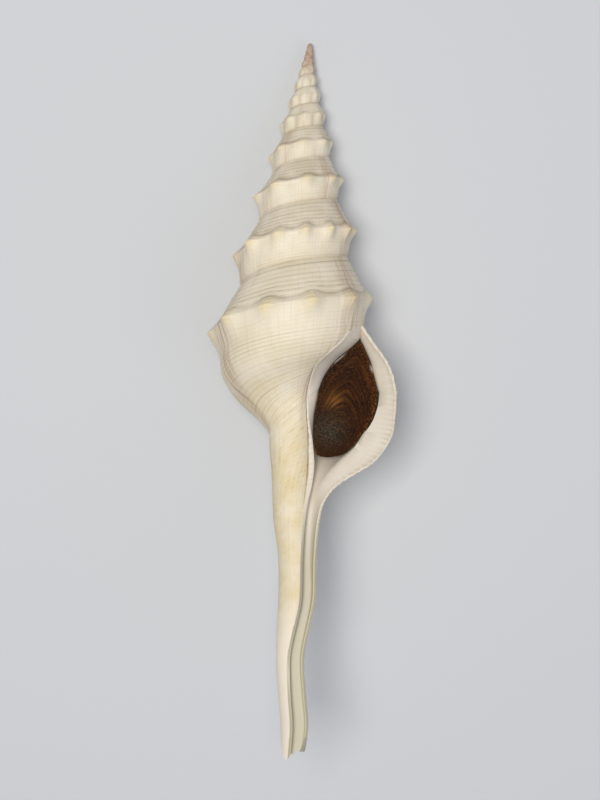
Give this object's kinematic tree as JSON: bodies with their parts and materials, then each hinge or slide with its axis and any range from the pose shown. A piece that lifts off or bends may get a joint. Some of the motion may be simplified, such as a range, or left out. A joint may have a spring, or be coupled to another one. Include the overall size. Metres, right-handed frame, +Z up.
{
  "type": "spindle shell",
  "caption": "Long slender spindle shell with knobbed whorls, a straight open canal and a horny operculum in its aperture, lying on its back.",
  "frame": {"origin": "centre of the footprint, on the surface that the shell lies on", "axes": "+Y towards the pointed apex of the spire, -Y towards the end of the canal, +Z up, out of the aperture, +X towards the outer lip"},
  "size_m": [0.0588, 0.2148, 0.0597],
  "materials": {
    "shell": "satin",
    "operculum": "satin"
  },
  "bodies": {
    "root": {"shell": "shell", "operculum": "operculum"}
  },
  "joints": []
}
